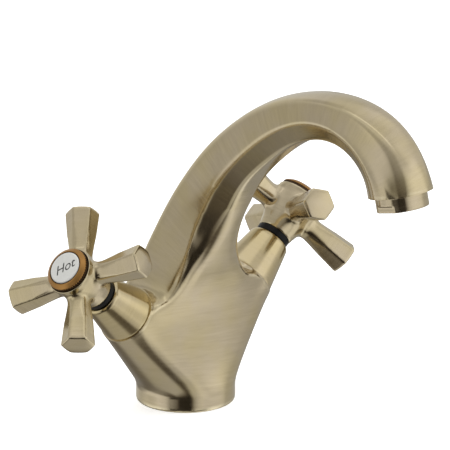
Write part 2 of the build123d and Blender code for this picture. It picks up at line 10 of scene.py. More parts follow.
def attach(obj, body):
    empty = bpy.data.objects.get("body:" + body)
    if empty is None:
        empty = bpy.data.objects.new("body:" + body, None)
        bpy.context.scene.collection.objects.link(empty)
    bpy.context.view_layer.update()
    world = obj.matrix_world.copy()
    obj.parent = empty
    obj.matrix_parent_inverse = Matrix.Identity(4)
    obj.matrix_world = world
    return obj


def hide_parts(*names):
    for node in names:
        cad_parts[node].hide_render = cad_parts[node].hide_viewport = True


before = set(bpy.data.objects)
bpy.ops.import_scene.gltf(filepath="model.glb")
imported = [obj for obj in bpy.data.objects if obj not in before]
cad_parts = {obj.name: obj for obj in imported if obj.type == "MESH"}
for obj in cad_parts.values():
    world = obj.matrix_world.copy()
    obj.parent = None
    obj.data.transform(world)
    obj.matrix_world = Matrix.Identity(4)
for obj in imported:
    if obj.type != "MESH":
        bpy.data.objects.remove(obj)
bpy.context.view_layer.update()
MM = 0.001

# Sizes in millimetres, the same as in the solids
VALVE_TILT = radians(51.0)
VALVE_X = 39.4
VALVE_Z = 50.6
SKIRT_HEIGHT = 20.6
SKIRT_BASE_RADIUS = 13.5
SKIRT_TOP_RADIUS = 9.75
SKIRT_WALL = 1.2
SKIRT_RIM = 1.0
SKIRT_BORE = 6.9
SKIRT_HOLE = 6.56
MOUTH_RADIUS = 8.8
MOUTH_TOP = 21.8
WEB_RADIUS = 9.8
WEB_LOW = 13.6
WEB_TOP = 16.1
SPIGOT_START = 18.1
HUB_BOTTOM = 25.1
HUB_TOP = 47.7
HUB_EDGE = 11.5
ARM_REST_ANGLE = 30.0
GLIDE_RADIUS = 8.2
GLIDE_BORE = 5.62
GLIDE_SLEEVE = 6.6
GLIDE_LOW = 22.1
INDEX_SEAT = 45.7
INDEX_RADIUS = 10.6
INDEX_BAND_TOP = 49.4
INDEX_TOP = 50.9
INDEX_TOP_RADIUS = 8.6
INDEX_LIP_RADIUS = 6.4
INDEX_LIP_TOP = 49.3
DISC_RADIUS = 7.8
DISC_FACE = 51.3
DISC_BEVEL = 0.3
DISC_GAP = 0.02
OUTLET_FORWARD = 138.4
OUTLET_HEIGHT = 132.5
OUTLET_LEAN = radians(166.6)

# Middle line of the body and spout as distance forward and height, and how its corners are cut
SPINE = [(0, -5), (0, 0), (0, 30), (0, 50), (3.7, 67.8), (9.1, 82.9), (18.1, 100.0), (29.0, 116.8),
         (46.0, 134.6), (67.9, 150.7), (98.9, 159.9), (123.0, 152.1), (132.8, 143.9), (138.4, 132.5),
         (140.7, 122.5)]
SPINE_ROUNDS = 3
SPINE_CUT = 0.25
SPINE_BLOCK = 20000

# Flat ends of the casting: how far they are drawn out for the meshing, which points go back to the plane
# and are merged there, and the band of wall below the rim that is smoothed
END_LENGTH = 1.2
END_REACH = 0.25
END_TOLERANCE = 0.02
END_MERGE = 0.12
END_BAND = 1.6
END_ROUNDS = 12
BOSS_END = 16.0
OUTLET_END = 24.0

# Even meshes: their spacing, and the curvatures between which the painted edge highlight rises from none to
# full
BODY_VOXEL = 0.6
BODY_SHEEN = (0.1, 0.3)
HANDLE_VOXEL = 0.35
HANDLE_SHEEN = (0.3, 1.2)
COLLAR_VOXEL = 0.3
SHEEN_ROUNDS = 8
RELAXING = 0.5
SAME_POINT = 1e-7
TINY = 1e-9

# Corners of turned profiles: points to a curve, and the most that it takes of a run
CORNER_STEPS = 4
CORNER_SHARE = 0.45

# Where the casting's forms run together, as distances from its machined ends
BASE_CLEAR = 7.0
BASE_FADE = 5.0
END_CLEAR = 0.8
BOSS_FADE = 7.0
BOSS_LEAST = 0.12
OUTLET_FADE = 3.0

# Front edges of the neck: half their distance at the top, how they run apart below, and where they end
EDGE_TOP = 93.0
EDGE_HALF = 7.1
EDGE_SPREAD = 0.2
EDGE_FLARE = 0.0073
EDGE_OUTSIDE = 4.5
EDGE_INSIDE = 7.0
EDGE_LOW = 59.0
EDGE_LOW_FADE = 6.0
EDGE_HIGH = 102.0
EDGE_HIGH_FADE = 12.0
EDGE_FRONT = 12.0
EDGE_FRONT_FADE = 3.0

# Ends of the neck's chamfers at the shoulders
CHAMFER_END = (27.0, 15.6, 57.6)
CHAMFER_REACH = 8.0

# Rims that get no painted edge highlight
RIM_BESIDE = 1.0
RIM_BELOW = 0.4
RIM_FADE = 1.2

# Roots of the handles' arms
ROOT_LOW = 0.6
ROOT_TOP = 0.8
ROOT_END_FADE = 1.5
ROOT_REACH = 24.0
ROOT_FADE = 12.0
ROOT_BORE = 5.0
ROOT_BORE_FADE = 2.0
HUB_FADE = 2.0

# Index ring: its knurled band, and the faces with painted shade
KNURL_TEETH = 54
KNURL_STEPS = 6
KNURL_RUN = 0.4
KNURL_DEPTH = 0.35
KNURL_INSIDE = 0.3
KNURL_START = 0.1
SHADE_BELOW = 0.5
SHADE_INSIDE = 0.4

# Words on the discs
WORD_SIZES = {"hot": 6.6, "cold": 5.4}
WORD_SLANT = 0.35
WORD_RAISE = 0.02
WORD_TURN = 45.0

# Brushed finish: streaks per millimetre across and along the strokes, and their slant on the body
STREAK_ACROSS = 1.1
STREAK_ALONG = 0.09
STROKE_SLANT = 0.12

# Noise of the brushed finish as scale, detail and roughness, the spans of it that are used, and its relief
FINE_STROKES = (1.0, 3.0, 0.65)
COARSE_STROKES = (0.31, 2.0, 0.5)
CLOUDS = (42.0, 2.0, 0.5)
PATCHES = (55.0, 2.0, 0.5)
FINE_SHARE = 0.6
STROKE_SHARE = 0.75
TONE_SPAN = (0.32, 0.66)
PATCH_SPAN = (0.4, 0.64)
NOISE_SPAN = (0.3, 0.7)
STROKE_DEPTH = 0.1 * MM

# Noise of the plain surfaces as detail and roughness, grains to a mottle, and the grain's relief
MOTTLES = (3.0, 0.6)
GRAINS = (2.0, 0.5)
MOTTLE_GRAINS = 8
GRAIN_DEPTH = 0.05 * MM


def link(obj):
    bpy.context.scene.collection.objects.link(obj)
    return obj


def paint(obj, material):
    obj.data.materials.clear()
    obj.data.materials.append(material)


def coordinates(mesh):
    """Vertex coordinates of a mesh in millimetres."""
    flat = np.empty(len(mesh.vertices) * 3, np.float32)
    mesh.vertices.foreach_get("co", flat)
    return flat.reshape(-1, 3).astype(float) / MM


def set_coordinates(mesh, points):
    mesh.vertices.foreach_set("co", (points * MM).astype(np.float32).ravel())
    mesh.update()


def normals(mesh):
    flat = np.empty(len(mesh.vertices) * 3, np.float32)
    mesh.vertex_normals.foreach_get("vector", flat)
    return flat.reshape(-1, 3).astype(float)


def unit(vectors):
    length = np.linalg.norm(vectors, axis=1, keepdims=True)
    return vectors / np.maximum(length, TINY)


def past(values, start, reach):
    """0 up to the start, rising to 1 over the given reach."""
    return np.clip((values - start) / reach, 0, 1)


def valve_matrix(side):
    """Frame of a valve in millimetres: Z outwards along its axis, X towards the front."""
    outward = Vector((side * sin(VALVE_TILT), 0, cos(VALVE_TILT)))
    forward = Vector((0, -1, 0))
    across = outward.cross(forward)
    turn = Matrix((forward, across, outward)).transposed().to_4x4()
    return Matrix.Translation((side * VALVE_X, 0, VALVE_Z)) @ turn


def outlet_matrix():
    """Frame of the spout's end in millimetres: Z along the flow."""
    flow = Vector((0, -sin(OUTLET_LEAN), cos(OUTLET_LEAN)))
    side = Vector((1, 0, 0))
    turn = Matrix((side, flow.cross(side), flow)).transposed().to_4x4()
    return Matrix.Translation((0, -OUTLET_FORWARD, OUTLET_HEIGHT)) @ turn


def metres(place):
    """Frame in millimetres as one in metres."""
    return Matrix.Translation(place.translation * MM) @ place.to_3x3().to_4x4()


def local_points(points, place):
    inverse = np.array(place.inverted())
    return points @ inverse[:3, :3].T + inverse[:3, 3]


def shade_smooth(mesh):
    mesh.polygons.foreach_set("use_smooth", np.ones(len(mesh.polygons), bool))
    mesh.update()


def neighbour_means(mesh):
    """Function that gives the mean of each vertex's neighbours."""
    edges = np.empty(len(mesh.edges) * 2, np.int32)
    mesh.edges.foreach_get("vertices", edges)
    first, second = edges.reshape(-1, 2).T
    here = np.concatenate([first, second])
    there = np.concatenate([second, first])
    count = len(mesh.vertices)
    degree = np.maximum(np.bincount(here, minlength=count), 1)

    def mean(values):
        columns = range(values.shape[1])
        sums = [np.bincount(here, weights=values[there, column], minlength=count) for column in columns]
        return np.stack(sums, axis=1) / degree[:, None]

    return mean


def everywhere(points):
    return np.ones(len(points))


def smooth(mesh, passes):
    """Rounds a mesh. Each pass gives its number of rounds, the rounds that even out its shrinkage before
    that is taken back, with 0 for none, and a function for the weight of each point."""
    mean = neighbour_means(mesh)
    points = coordinates(mesh)

    def relaxed(values, rounds, weight):
        for _ in range(rounds):
            values = values + RELAXING * weight * (mean(values) - values)
        return values

    for rounds, refill, softness in passes:
        weight = softness(points)[:, None]
        softened = relaxed(points, rounds, weight)
        if refill:
            points = softened - weight * relaxed(softened - points, refill, 1.0)
        else:
            points = softened
    set_coordinates(mesh, points)


def draw_out(work, place, radius):
    """Lengthens a solid at its flat end, which lies across the Z axis of the given frame."""
    inverse = place.inverted()

    def on_end(vertex):
        local = inverse @ (vertex.co / MM)
        return abs(local.z) < END_TOLERANCE and local.xy.length < radius

    faces = [face for face in work.faces if all(on_end(vertex) for vertex in face.verts)]
    drawn = bmesh.ops.extrude_face_region(work, geom=faces)["geom"]
    ends = [item for item in drawn if isinstance(item, bmesh.types.BMVert)]
    bmesh.ops.translate(work, verts=ends, vec=place.col[2].to_3d() * END_LENGTH * MM)
    left = [face for face in faces if face.is_valid]
    bmesh.ops.delete(work, geom=left, context="FACES_ONLY")


def level_end(mesh, place, radius):
    """Brings a lengthened end back to its plane, with a crisp rim and a smooth wall below it."""
    points = coordinates(mesh)
    local = local_points(points, place)
    near = (local[:, 2] > -END_REACH) & (local[:, 2] < 2 * END_LENGTH)
    near &= np.hypot(local[:, 0], local[:, 1]) < radius
    points[near] -= local[near, 2:] * np.array(place)[:3, 2]
    set_coordinates(mesh, points)
    work = bmesh.new()
    work.from_mesh(mesh)
    work.verts.ensure_lookup_table()
    levelled = [work.verts[index] for index in np.flatnonzero(near)]
    bmesh.ops.remove_doubles(work, verts=levelled, dist=END_MERGE * MM)
    levelled = {vertex for vertex in levelled if vertex.is_valid}
    for edge in work.edges:
        flat = [all(vertex in levelled for vertex in face.verts) for face in edge.link_faces]
        if any(flat) and not all(flat):
            edge.smooth = False
    work.to_mesh(mesh)
    work.free()
    mean = neighbour_means(mesh)
    points = coordinates(mesh)
    local = local_points(points, place)
    wall = (local[:, 2] > -END_BAND) & (local[:, 2] < -END_TOLERANCE)
    wall &= np.hypot(local[:, 0], local[:, 1]) < radius
    for _ in range(END_ROUNDS):
        points[wall] += RELAXING * (mean(points) - points)[wall]
    set_coordinates(mesh, points)


def remeshed(node, name, voxel, passes, ends=(), along=Matrix.Identity(4)):
    """Evenly meshed copy of a solid with softly rounded edges. Each end is a frame with Z outwards and the
    radius of a flat end that keeps its rim. The mesh lies along the axes of the given frame."""
    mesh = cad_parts[node].data.copy()
    work = bmesh.new()
    work.from_mesh(mesh)
    bmesh.ops.remove_doubles(work, verts=work.verts, dist=SAME_POINT)
    for place, radius in ends:
        draw_out(work, place, radius)
    work.to_mesh(mesh)
    work.free()
    mesh.transform(metres(along).inverted())
    source = link(bpy.data.objects.new(name + "_source", mesh))
    remesh = source.modifiers.new("Remesh", "REMESH")
    remesh.mode = "VOXEL"
    remesh.voxel_size = voxel * MM
    graph = bpy.context.evaluated_depsgraph_get()
    result = bpy.data.meshes.new_from_object(source.evaluated_get(graph))
    bpy.data.objects.remove(source)
    bpy.data.meshes.remove(mesh)
    result.name = name
    result.materials.clear()
    result.transform(metres(along))
    smooth(result, passes)
    for place, radius in ends:
        level_end(result, place, radius)
    shade_smooth(result)
    return link(bpy.data.objects.new(name, result))


def set_edge_sheen(mesh, spacing, flat, sharp, reach=everywhere):
    """Stores a painted highlight on convex edges: 0 up to the flat curvature, 1 from the sharp one on. The
    curvature is how far a point stands out from its neighbours. reach gives the weight of each point."""
    mean = neighbour_means(mesh)
    points = coordinates(mesh)
    bend = np.sum((points - mean(points)) * normals(mesh), axis=1, keepdims=True) * 4 / spacing ** 2
    for _ in range(SHEEN_ROUNDS):
        bend = bend + RELAXING * (mean(bend) - bend)
    edge_sheen = past(bend[:, 0], flat, sharp - flat) * reach(points)
    layer = mesh.attributes.new("edge_sheen", "FLOAT", "POINT")
    layer.data.foreach_set("value", edge_sheen.astype(np.float32))


def rounded(corners):
    """Closed profile with each corner (radius, height, rounding) replaced by a short curve."""
    points = []
    count = len(corners)
    for index in range(count):
        here = np.array(corners[index][:2], float)
        before = np.array(corners[index - 1][:2], float)
        after = np.array(corners[(index + 1) % count][:2], float)
        size = corners[index][2]
        if size == 0:
            points.append(here)
            continue
        start = here + (before - here) * min(CORNER_SHARE, size / np.linalg.norm(before - here))
        end = here + (after - here) * min(CORNER_SHARE, size / np.linalg.norm(after - here))
        for step in range(CORNER_STEPS + 1):
            share = step / CORNER_STEPS
            points.append((1 - share) ** 2 * start + 2 * share * (1 - share) * here + share ** 2 * end)
    return np.array(points)


def refined(profile, longest):
    """Profile with extra points so that no run is longer than the given length."""
    points = []
    for index in range(len(profile)):
        here = profile[index]
        after = profile[(index + 1) % len(profile)]
        pieces = max(1, int(np.ceil(np.linalg.norm(after - here) / longest)))
        for piece in range(pieces):
            points.append(here + (after - here) * piece / pieces)
    return np.array(points)


def spun(name, corners, place, segments=160, longest=1.0, relief=None):
    """Turned piece from a closed profile. relief changes the radius by radius, height and angle."""
    profile = refined(rounded(corners), longest)
    rows = len(profile)
    angles = np.arange(segments) * 2 * pi / segments
    radius = np.repeat(profile[:, 0][None, :], segments, axis=0)
    height = np.repeat(profile[:, 1][None, :], segments, axis=0)
    angle = np.repeat(angles[:, None], rows, axis=1)
    if relief is not None:
        radius = radius + relief(radius, height, angle)
    local = np.stack([radius * np.cos(angle), radius * np.sin(angle), height], axis=2).reshape(-1, 3)
    turn = np.array(place)
    points = local @ turn[:3, :3].T + turn[:3, 3]
    faces = []
    for column in range(segments):
        here = column * rows
        beside = (column + 1) % segments * rows
        for row in range(rows):
            above = (row + 1) % rows
            faces.append((here + row, beside + row, beside + above, here + above))
    mesh = bpy.data.meshes.new(name)
    mesh.from_pydata((points * MM).tolist(), [], faces)
    work = bmesh.new()
    work.from_mesh(mesh)
    bmesh.ops.remove_doubles(work, verts=work.verts, dist=SAME_POINT)
    bmesh.ops.recalc_face_normals(work, faces=work.faces)
    work.to_mesh(mesh)
    work.free()
    shade_smooth(mesh)
    turned_finish(mesh, place)
    return link(bpy.data.objects.new(name, mesh))


def set_finish(mesh, grain, stretch):
    """Stores the brushing of each vertex: streak coordinates, and the way its highlights spread."""
    across = unit(stretch - normals(mesh) * np.sum(stretch * normals(mesh), axis=1, keepdims=True))
    for name, values in (("grain", grain), ("stretch", across)):
        layer = mesh.attributes.new(name, "FLOAT_VECTOR", "POINT")
        layer.data.foreach_set("vector", values.astype(np.float32).ravel())


def turned_finish(mesh, place):
    """Strokes round the axis of a turned piece."""
    turn = np.array(place)[:3, :3]
    local = local_points(coordinates(mesh), place)
    radius = np.hypot(local[:, 0], local[:, 1])
    outward = np.stack([local[:, 0], local[:, 1], 0 * radius], axis=1) / np.maximum(radius, TINY)[:, None]
    around = np.stack([-outward[:, 1], outward[:, 0], 0 * radius], axis=1)
    facing = normals(mesh) @ turn
    meridian = np.cross(around, facing)
    grain = np.stack([
        outward[:, 0] * radius * STREAK_ALONG,
        outward[:, 1] * radius * STREAK_ALONG,
        (local[:, 2] + radius) * STREAK_ACROSS,
    ], axis=1)
    set_finish(mesh, grain, meridian @ turn.T)


def spine_line():
    """Middle line of the body, smoothed by cutting its corners."""
    line = np.array(SPINE, float)
    for _ in range(SPINE_ROUNDS):
        cut = np.empty((2 * len(line) - 2, 2))
        cut[0::2] = (1 - SPINE_CUT) * line[:-1] + SPINE_CUT * line[1:]
        cut[1::2] = SPINE_CUT * line[:-1] + (1 - SPINE_CUT) * line[1:]
        line = np.vstack([line[:1], cut, line[-1:]])
    return line


def body_finish(mesh):
    """Strokes across the body and spout, nearly square to its middle line."""
    points = coordinates(mesh)
    line = spine_line()
    start = line[:-1]
    run = np.diff(line, axis=0)
    length = np.linalg.norm(run, axis=1)
    travelled = np.concatenate([[0], np.cumsum(length)[:-1]])
    flat = np.stack([-points[:, 1], points[:, 2]], axis=1)
    along = np.empty(len(points))
    direction = np.empty((len(points), 2))
    for low in range(0, len(points), SPINE_BLOCK):
        high = low + SPINE_BLOCK
        part = flat[low:high, None, :]
        share = np.clip(np.sum((part - start) * run, axis=2) / length ** 2, 0, 1)
        gap = np.linalg.norm(part - start - share[:, :, None] * run, axis=2)
        nearest = np.argmin(gap, axis=1)
        rows = np.arange(len(nearest))
        along[low:high] = travelled[nearest] + share[rows, nearest] * length[nearest]
        direction[low:high] = run[nearest] / length[nearest][:, None]
    stretch = np.stack([0 * along, -direction[:, 0], direction[:, 1]], axis=1)
    slanted = along + STROKE_SLANT * points[:, 0]
    off_line = flat[:, 0] * direction[:, 1] - flat[:, 1] * direction[:, 0]
    grain = np.stack([points[:, 0] * STREAK_ALONG, off_line * STREAK_ALONG, slanted * STREAK_ACROSS], axis=1)
    set_finish(mesh, grain, stretch)


def handle_finish(mesh, side, place):
    """Strokes across each arm, and round the hub."""
    turn = np.array(place)[:3, :3]
    local = local_points(coordinates(mesh), place)
    radius = np.hypot(local[:, 0], local[:, 1])
    angle = np.arctan2(local[:, 1], local[:, 0])
    rest = radians(-side * ARM_REST_ANGLE)
    quarter = pi / 2
    arm = np.round((angle - rest) / quarter) * quarter + rest
    ahead = np.stack([np.cos(arm), np.sin(arm), 0 * arm], axis=1)
    beside = np.stack([-np.sin(arm), np.cos(arm), 0 * arm], axis=1)
    out = np.sum(local * ahead, axis=1)
    across = np.sum(local * beside, axis=1)
    on_arm = past(radius, HUB_EDGE, HUB_FADE)[:, None]
    arm_grain = np.stack([across * STREAK_ALONG, local[:, 2] * STREAK_ALONG, out * STREAK_ACROSS], axis=1)
    hub_grain = np.stack([
        local[:, 0] * STREAK_ALONG, local[:, 1] * STREAK_ALONG, local[:, 2] * STREAK_ACROSS,
    ], axis=1)
    upright = np.tile(np.array([[0.0, 0.0, 1.0]]), (len(local), 1))
    stretch = upright * (1 - on_arm) + ahead * on_arm
    set_finish(mesh, np.where(on_arm > 0.5, arm_grain, hub_grain), stretch @ turn.T)


class Nodes:
    """Short way to add linked nodes to a material or world."""

    def __init__(self, tree):
        self.tree = tree
        tree.nodes.clear()

    def add(self, kind, inputs=None, **settings):
        node = self.tree.nodes.new(kind)
        for key, value in settings.items():
            setattr(node, key, value)
        for key, value in (inputs or {}).items():
            if isinstance(value, bpy.types.NodeSocket):
                self.tree.links.new(value, node.inputs[key])
            else:
                node.inputs[key].default_value = value
        return node

    def math(self, operation, first, second=0.0):
        return self.add("ShaderNodeMath", {0: first, 1: second}, operation=operation).outputs[0]

    def blend(self, first, share, second):
        """The given share of the first value and the rest of the second."""
        return self.math("ADD", self.math("MULTIPLY", first, share), self.math("MULTIPLY", second, 1 - share))

    def dot(self, first, second):
        inputs = {0: first, 1: second}
        return self.add("ShaderNodeVectorMath", inputs, operation="DOT_PRODUCT").outputs["Value"]

    def ramp(self, factor, stops):
        """Grey level or colour by the factor. Each stop is a place from 0 to 1 and what is there."""
        node = self.add("ShaderNodeValToRGB", {"Fac": factor})
        elements = node.color_ramp.elements
        while len(elements) < len(stops):
            elements.new(0.5)
        for element, (place, level) in zip(elements, stops):
            element.position = place
            shade = level if isinstance(level, tuple) else (level, level, level)
            element.color = (*shade, 1.0)
        return node.outputs["Color"]

    def spread(self, value, low, high, new_low, new_high):
        inputs = {"Value": value, "From Min": low, "From Max": high, "To Min": new_low, "To Max": new_high}
        return self.add("ShaderNodeMapRange", inputs).outputs["Result"]

    def noise(self, vector, scale, detail, roughness):
        inputs = {"Vector": vector, "Scale": scale, "Detail": detail, "Roughness": roughness}
        return self.add("ShaderNodeTexNoise", inputs).outputs["Fac"]

    def mix(self, factor, first, second):
        """Colour between the first at factor 0 and the second at factor 1."""
        node = self.add("ShaderNodeMix", {"Factor": factor}, data_type="RGBA")
        colours = [socket for socket in node.inputs if socket.type == "RGBA"]
        for socket, value in zip(colours, (first, second)):
            if isinstance(value, bpy.types.NodeSocket):
                self.tree.links.new(value, socket)
            else:
                socket.default_value = (*value, 1.0)
        return [socket for socket in node.outputs if socket.type == "RGBA"][0]


def brushed_metal(name, light, dark, smoothest, roughest, anisotropy, relief, painted_sheen=None, patina=None):
    """Brushed metal: fine strokes in colour, roughness and relief, and highlights spread across them.
    painted_sheen is a highlight painted as brighter colour on convex edges, patina the light and dark colour
    of its patches."""
    material = bpy.data.materials.new(name)
    material.use_nodes = True
    nodes = Nodes(material.node_tree)
    grain = nodes.add("ShaderNodeAttribute", attribute_name="grain").outputs["Vector"]
    place = nodes.add("ShaderNodeTexCoord").outputs["Object"]
    fine = nodes.noise(grain, *FINE_STROKES)
    coarse = nodes.noise(grain, *COARSE_STROKES)
    strokes = nodes.blend(fine, FINE_SHARE, coarse)
    tone = nodes.blend(strokes, STROKE_SHARE, nodes.noise(place, *CLOUDS))
    dark_end, light_end = TONE_SPAN
    colour = nodes.ramp(tone, [(dark_end, dark), (light_end, light)])
    if patina:
        patina_light, patina_dark = patina
        patch = nodes.spread(nodes.noise(place, *PATCHES), *PATCH_SPAN, 0.0, 1.0)
        patched = nodes.ramp(tone, [(dark_end, patina_dark), (light_end, patina_light)])
        colour = nodes.mix(patch, colour, patched)
    # Painted highlight: brighter colour on convex edges, by the edge curvature stored on the mesh
    if painted_sheen:
        edge_sheen = nodes.add("ShaderNodeAttribute", attribute_name="edge_sheen").outputs["Fac"]
        colour = nodes.mix(edge_sheen, colour, painted_sheen)
    rough = nodes.spread(strokes, *NOISE_SPAN, smoothest, roughest)
    bump = nodes.add("ShaderNodeBump", {"Height": fine, "Strength": relief, "Distance": STROKE_DEPTH})
    stretch = nodes.add("ShaderNodeAttribute", attribute_name="stretch").outputs["Vector"]
    turned = nodes.add("ShaderNodeVectorTransform", {"Vector": stretch}, vector_type="VECTOR",
                       convert_from="OBJECT", convert_to="WORLD").outputs["Vector"]
    shader = nodes.add("ShaderNodeBsdfPrincipled", {
        "Base Color": colour, "Metallic": 1.0, "Roughness": rough, "Anisotropic": anisotropy,
        "Tangent": turned, "Normal": bump.outputs["Normal"],
    })
    nodes.add("ShaderNodeOutputMaterial", {"Surface": shader.outputs["BSDF"]})
    return material


def plain_surface(name, light, dark, grain_size, rough, metallic=0.0, relief=0.1, coat=0.0, specular=0.5):
    """Turned, moulded or fired surface: mottled colour, uneven roughness and a fine texture.
    grain_size is in millimetres."""
    material = bpy.data.materials.new(name)
    material.use_nodes = True
    nodes = Nodes(material.node_tree)
    place = nodes.add("ShaderNodeTexCoord").outputs["Object"]
    mottle = nodes.noise(place, 1.0 / (grain_size * MOTTLE_GRAINS * MM), *MOTTLES)
    fine = nodes.noise(place, 1.0 / (grain_size * MM), *GRAINS)
    dark_end, light_end = NOISE_SPAN
    colour = nodes.ramp(mottle, [(dark_end, dark), (light_end, light)])
    roughness = nodes.spread(fine, *NOISE_SPAN, *rough)
    bump = nodes.add("ShaderNodeBump", {"Height": fine, "Strength": relief, "Distance": GRAIN_DEPTH})
    shader = nodes.add("ShaderNodeBsdfPrincipled", {
        "Base Color": colour, "Metallic": metallic, "Roughness": roughness, "Coat Weight": coat,
        "Specular IOR Level": specular, "Normal": bump.outputs["Normal"],
    })
    nodes.add("ShaderNodeOutputMaterial", {"Surface": shader.outputs["BSDF"]})
    return material


# Materials
# The bronze's brighter edge colour is a painted highlight
BRONZE = brushed_metal("brushed_bronze", (0.615, 0.523, 0.368), (0.535, 0.452, 0.312), 0.14, 0.2, 0.55, 0.03,
                       painted_sheen=(0.85, 0.75, 0.52), patina=((0.618, 0.522, 0.328), (0.538, 0.452, 0.275)))
WARM_BRONZE = brushed_metal("warm_bronze", (0.625, 0.522, 0.33), (0.545, 0.452, 0.28), 0.14, 0.2, 0.55, 0.03,
                            patina=((0.63, 0.52, 0.29), (0.55, 0.45, 0.245)))
COPPER = brushed_metal("brushed_copper", (0.50, 0.27, 0.085), (0.33, 0.165, 0.055), 0.24, 0.34, 0.3, 0.06)
# Near-black copper: painted shade on the index ring's lower side and on its inner wall by the disc
SHADED_COPPER = brushed_metal("painted_shade_copper", (0.09, 0.055, 0.03), (0.05, 0.03, 0.018), 0.3, 0.42, 0.2, 0.06)
WHITE = plain_surface("white_plastic", (0.79, 0.79, 0.765), (0.74, 0.74, 0.72), 0.4, (0.16, 0.24),
                      relief=0.04, coat=0.2)
BLACK = plain_surface("black_plastic", (0.008, 0.0075, 0.007), (0.005, 0.005, 0.005), 0.3, (0.34, 0.46),
                      specular=0.18)
INK = plain_surface("dark_ink", (0.035, 0.034, 0.033), (0.022, 0.022, 0.022), 0.2, (0.4, 0.55))
BRASS = plain_surface("turned_brass", (0.72, 0.50, 0.20), (0.60, 0.40, 0.15), 0.5, (0.26, 0.4), metallic=1.0)
STEEL = plain_surface("stainless_steel", (0.62, 0.61, 0.59), (0.52, 0.51, 0.50), 0.5, (0.22, 0.36),
                      metallic=1.0)
RUBBER = plain_surface("black_rubber", (0.024, 0.023, 0.022), (0.014, 0.014, 0.013), 0.25, (0.62, 0.8),
                       relief=0.3)
CERAMIC = plain_surface("white_ceramic", (0.80, 0.79, 0.76), (0.74, 0.73, 0.70), 0.3, (0.12, 0.2), coat=0.3)

# Body
BODY_ENDS = [(valve_matrix(-1), BOSS_END), (valve_matrix(1), BOSS_END), (outlet_matrix(), OUTLET_END)]


def casting_forms(points):
    """Nearly 0 at the casting's machined ends, rising to 1 where its forms run together."""
    clear = past(points[:, 2], BASE_CLEAR, BASE_FADE)
    for side in (-1, 1):
        boss = past(-local_points(points, valve_matrix(side))[:, 2], END_CLEAR, BOSS_FADE)
        clear = np.minimum(clear, np.maximum(boss, BOSS_LEAST))
    outlet = past(-local_points(points, outlet_matrix())[:, 2], END_CLEAR, OUTLET_FADE)
    return np.minimum(clear, np.where(points[:, 1] < -OUTLET_FORWARD / 2, outlet, 1.0))


def front_edges(points):
    """Along the neck's two front edges, which run apart towards the shoulders."""
    height = points[:, 2]
    drop = np.clip(EDGE_TOP - height, 0, EDGE_TOP)
    off = np.abs(points[:, 0]) - (EDGE_HALF + EDGE_SPREAD * drop + EDGE_FLARE * drop ** 2)
    across = np.minimum(past(-off, -EDGE_OUTSIDE, EDGE_OUTSIDE), past(off, -EDGE_INSIDE, EDGE_INSIDE))
    ends = np.minimum(past(height, EDGE_LOW, EDGE_LOW_FADE), past(-height, -EDGE_HIGH, EDGE_HIGH_FADE))
    return across * ends * past(-points[:, 1], EDGE_FRONT, EDGE_FRONT_FADE)


def chamfer_ends(points):
    """Where the chamfers of the neck run out at the shoulders."""
    gap = np.linalg.norm(np.abs(points) - CHAMFER_END, axis=1)
    return past(-gap, -CHAMFER_REACH, CHAMFER_REACH)


def off_ends(points):
    """0 at the rims of the casting's ends, rising to 1 a short way off."""
    clear = np.ones(len(points))
    for place, radius in BODY_ENDS:
        local = local_points(points, place)
        beside = past(np.hypot(local[:, 0], local[:, 1]), radius, RIM_BESIDE)
        below = past(-local[:, 2], RIM_BELOW, RIM_FADE)
        clear = np.minimum(clear, np.maximum(beside, below))
    return clear


body = remeshed("mixer_body", "cast_body", BODY_VOXEL, [
    (10, 40, everywhere), (150, 750, casting_forms), (140, 0, front_edges), (70, 0, chamfer_ends),
], BODY_ENDS)
# Painted highlight on the body's convex edges, none at the rims of its ends
set_edge_sheen(body.data, BODY_VOXEL, *BODY_SHEEN, off_ends)
body_finish(body.data)
paint(body, BRONZE)
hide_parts("mixer_body")
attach(body, "mixer")

# Aerator collar
collar = remeshed("aerator_housing", "aerator_collar", COLLAR_VOXEL, [(6, 30, everywhere)],
                  along=outlet_matrix())
turned_finish(collar.data, outlet_matrix())
paint(collar, BRONZE)
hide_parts("aerator_housing")
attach(collar, "mixer")


# Valves and handles
def handle_roots(place):
    """Function for where the arms' roots flow into the hub of a handle on the given frame."""
    def weight(points):
        local = local_points(points, place)
        radius = np.hypot(local[:, 0], local[:, 1])
        height = local[:, 2]
        low_end = past(height, HUB_BOTTOM + ROOT_LOW, ROOT_END_FADE)
        top_end = past(-height, -HUB_TOP + ROOT_TOP, ROOT_END_FADE)
        outside = past(-radius, -ROOT_REACH, ROOT_FADE)
        return np.minimum(low_end, top_end) * outside * past(radius, ROOT_BORE, ROOT_BORE_FADE)

    return weight


def knurl(radius, height, angle):
    """Straight teeth on the outside of the index ring's band."""
    on_band = (radius > INDEX_RADIUS - KNURL_INSIDE) & (height > HUB_TOP + KNURL_START)
    on_band &= height < INDEX_BAND_TOP
    tooth = 0.5 + 0.5 * np.cos(angle * KNURL_TEETH)
    return np.where(on_band, -KNURL_DEPTH * tooth, 0.0)


def add_word(name, side, place, turning):
    """Name of the side on the disc's face, as thin raised lettering."""
    curve = bpy.data.curves.new(name + "_word", "FONT")
    curve.body = name.title()
    curve.align_x = "CENTER"
    curve.align_y = "CENTER"
    curve.size = WORD_SIZES[name] * MM
    curve.shear = WORD_SLANT
    curve.extrude = WORD_RAISE * MM
    obj = link(bpy.data.objects.new(name + "_word", curve))
    level = Matrix.Rotation(radians(-side * WORD_TURN), 4, "Z")
    upright = Matrix.Identity(4) if side < 0 else Matrix.Rotation(pi, 4, "Z")
    obj.matrix_world = metres(place @ Matrix.Translation((0, 0, DISC_FACE)) @ level @ upright)
    paint(obj, INK)
    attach(obj, turning)


